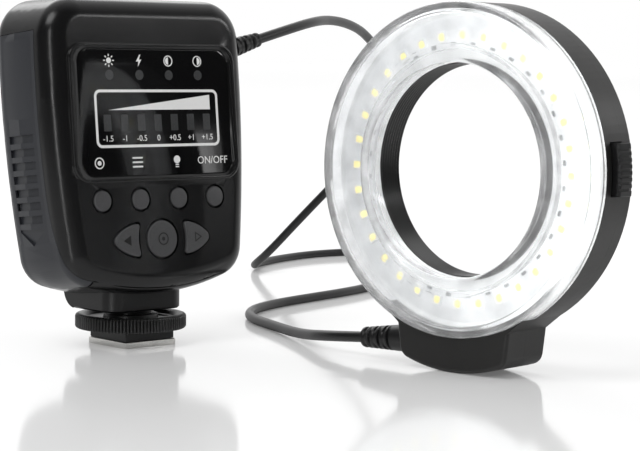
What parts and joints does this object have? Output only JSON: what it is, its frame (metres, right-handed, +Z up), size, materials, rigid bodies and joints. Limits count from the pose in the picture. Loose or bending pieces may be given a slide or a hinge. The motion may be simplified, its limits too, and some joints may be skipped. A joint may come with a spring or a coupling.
{
  "type": "macro ring flash",
  "caption": "Leaning control unit on a hot-shoe foot with a display and buttons, joined by a free cable to a clear-fronted ring light that fits round a lens.",
  "frame": {"origin": "centre of the hot-shoe foot's underside, on the plane that the foot and the ring head stand on", "axes": "+X to the right along the control unit's width seen from its display, +Y from the display towards the subject, along the hot shoe, +Z up"},
  "size_m": [0.2976, 0.3168, 0.1037],
  "materials": {
    "body_black": "fine satin texture",
    "button_black": "satin",
    "window_black": "polished",
    "light_guide": "smoked clear",
    "screw_steel": "plain",
    "board_green": "lacquered",
    "chip_black": "moulded",
    "capacitor_silver": "plain",
    "tray_black": "moulded",
    "cell_wrap": "satin wrap",
    "contact_nickel": "plated",
    "foot_steel": "bright",
    "contact_gold": "plated",
    "lock_black": "black satin",
    "barrel_black": "polished",
    "reflector_white": "white",
    "led_yellow": "phosphor",
    "diffuser_clear": "clear",
    "cable_black": "satin"
  },
  "bodies": {
    "body": {"front_shell": "body_black", "rear_shell": "body_black", "neck_block": "body_black", "neck_heel": "body_black", "mount_collar": "body_black", "head_front_housing": "body_black", "head_rear_cover": "body_black", "display_window": "window_black", "status_lights": "light_guide", "level_bars": "light_guide", "case_screws": "screw_steel", "board_screws": "screw_steel", "foot_screws": "screw_steel", "head_screws": "screw_steel", "circuit_board": "board_green", "tact_switches": "chip_black", "controller_chip": "chip_black", "boost_inductor": "chip_black", "storage_capacitor": "capacitor_silver", "battery_tray": "tray_black", "aa_cell_1": "cell_wrap", "aa_cell_2": "cell_wrap", "aa_cell_3": "cell_wrap", "aa_cell_4": "cell_wrap", "tray_contacts": "contact_nickel", "foot_plate": "foot_steel", "inner_barrel": "barrel_black", "reflector": "reflector_white", "led_board": "reflector_white", "led_chips": "led_yellow", "diffuser": "diffuser_clear", "cable": "cable_black", "unit_cable_boot": "cable_black", "head_cable_boot": "cable_black"},
    "pilot_button": {"pilot_button": "button_black"},
    "mode_button": {"mode_button": "button_black"},
    "light_button": {"light_button": "button_black"},
    "power_button": {"power_button": "button_black"},
    "left_button": {"left_button": "button_black"},
    "centre_button": {"centre_button": "button_black"},
    "right_button": {"right_button": "button_black"},
    "door_carrier": {"door_hinge_pin": "screw_steel"},
    "door": {"battery_door": "body_black", "door_contacts": "contact_nickel"},
    "clamp": {"clamp_plate": "lock_black"},
    "lock_ring": {"lock_ring": "lock_black"},
    "sync_contact": {"sync_contact": "contact_gold"},
    "left_release": {"left_release_button": "button_black", "left_release_slide": "screw_steel"},
    "right_release": {"right_release_button": "button_black", "right_release_slide": "screw_steel"}
  },
  "joints": [
    {"name": "pilot_press", "type": "slide", "parent": "body", "child": "pilot_button", "axis": [0, 0.9945, -0.1045], "range_m": [0, 0.0008], "stiffness_N_per_m": 1200, "springref_m": -0.0003},
    {"name": "mode_press", "type": "slide", "parent": "body", "child": "mode_button", "axis": [0, 0.9945, -0.1045], "range_m": [0, 0.0008], "stiffness_N_per_m": 1200, "springref_m": -0.0003},
    {"name": "light_press", "type": "slide", "parent": "body", "child": "light_button", "axis": [0, 0.9945, -0.1045], "range_m": [0, 0.0008], "stiffness_N_per_m": 1200, "springref_m": -0.0003},
    {"name": "power_press", "type": "slide", "parent": "body", "child": "power_button", "axis": [0, 0.9945, -0.1045], "range_m": [0, 0.0008], "stiffness_N_per_m": 1200, "springref_m": -0.0003},
    {"name": "left_press", "type": "slide", "parent": "body", "child": "left_button", "axis": [0, 0.9945, -0.1045], "range_m": [0, 0.0008], "stiffness_N_per_m": 1200, "springref_m": -0.0003},
    {"name": "centre_press", "type": "slide", "parent": "body", "child": "centre_button", "axis": [0, 0.9945, -0.1045], "range_m": [0, 0.0008], "stiffness_N_per_m": 1200, "springref_m": -0.0003},
    {"name": "right_press", "type": "slide", "parent": "body", "child": "right_button", "axis": [0, 0.9945, -0.1045], "range_m": [0, 0.0008], "stiffness_N_per_m": 1200, "springref_m": -0.0003},
    {"name": "door_slide", "type": "slide", "parent": "body", "child": "door_carrier", "axis": [0.0576, -0.1044, -0.9929], "range_m": [0, 0.004]},
    {"name": "door_swing", "type": "hinge", "parent": "door_carrier", "child": "door", "pos_m": [-0.0336, 0.01138, 0.05608], "axis": [0.0576, -0.1044, -0.9929], "range_deg": [0, 90]},
    {"name": "clamp_slide", "type": "slide", "parent": "body", "child": "clamp", "axis": [0, 0, 1], "range_m": [0, 0.00125]},
    {"name": "lock_ring_turn", "type": "hinge", "parent": "clamp", "child": "lock_ring", "pos_m": [0, 0, 0.007], "axis": [0, 0, 1], "range_deg": [0, 360]},
    {"name": "sync_contact_press", "type": "slide", "parent": "body", "child": "sync_contact", "axis": [0, 0, 1], "range_m": [0, 0.0008], "stiffness_N_per_m": 400, "springref_m": -0.0003},
    {"name": "left_release_press", "type": "slide", "parent": "body", "child": "left_release", "axis": [0.1097, -0.994, 0], "range_m": [0, 0.002], "stiffness_N_per_m": 900, "springref_m": -0.001},
    {"name": "right_release_press", "type": "slide", "parent": "body", "child": "right_release", "axis": [-0.1097, 0.994, 0], "range_m": [0, 0.002], "stiffness_N_per_m": 900, "springref_m": -0.001}
  ],
  "couplings": [
    {"joint": "clamp_slide", "follows": "lock_ring_turn", "m_per_rad": 0.00019894}
  ]
}
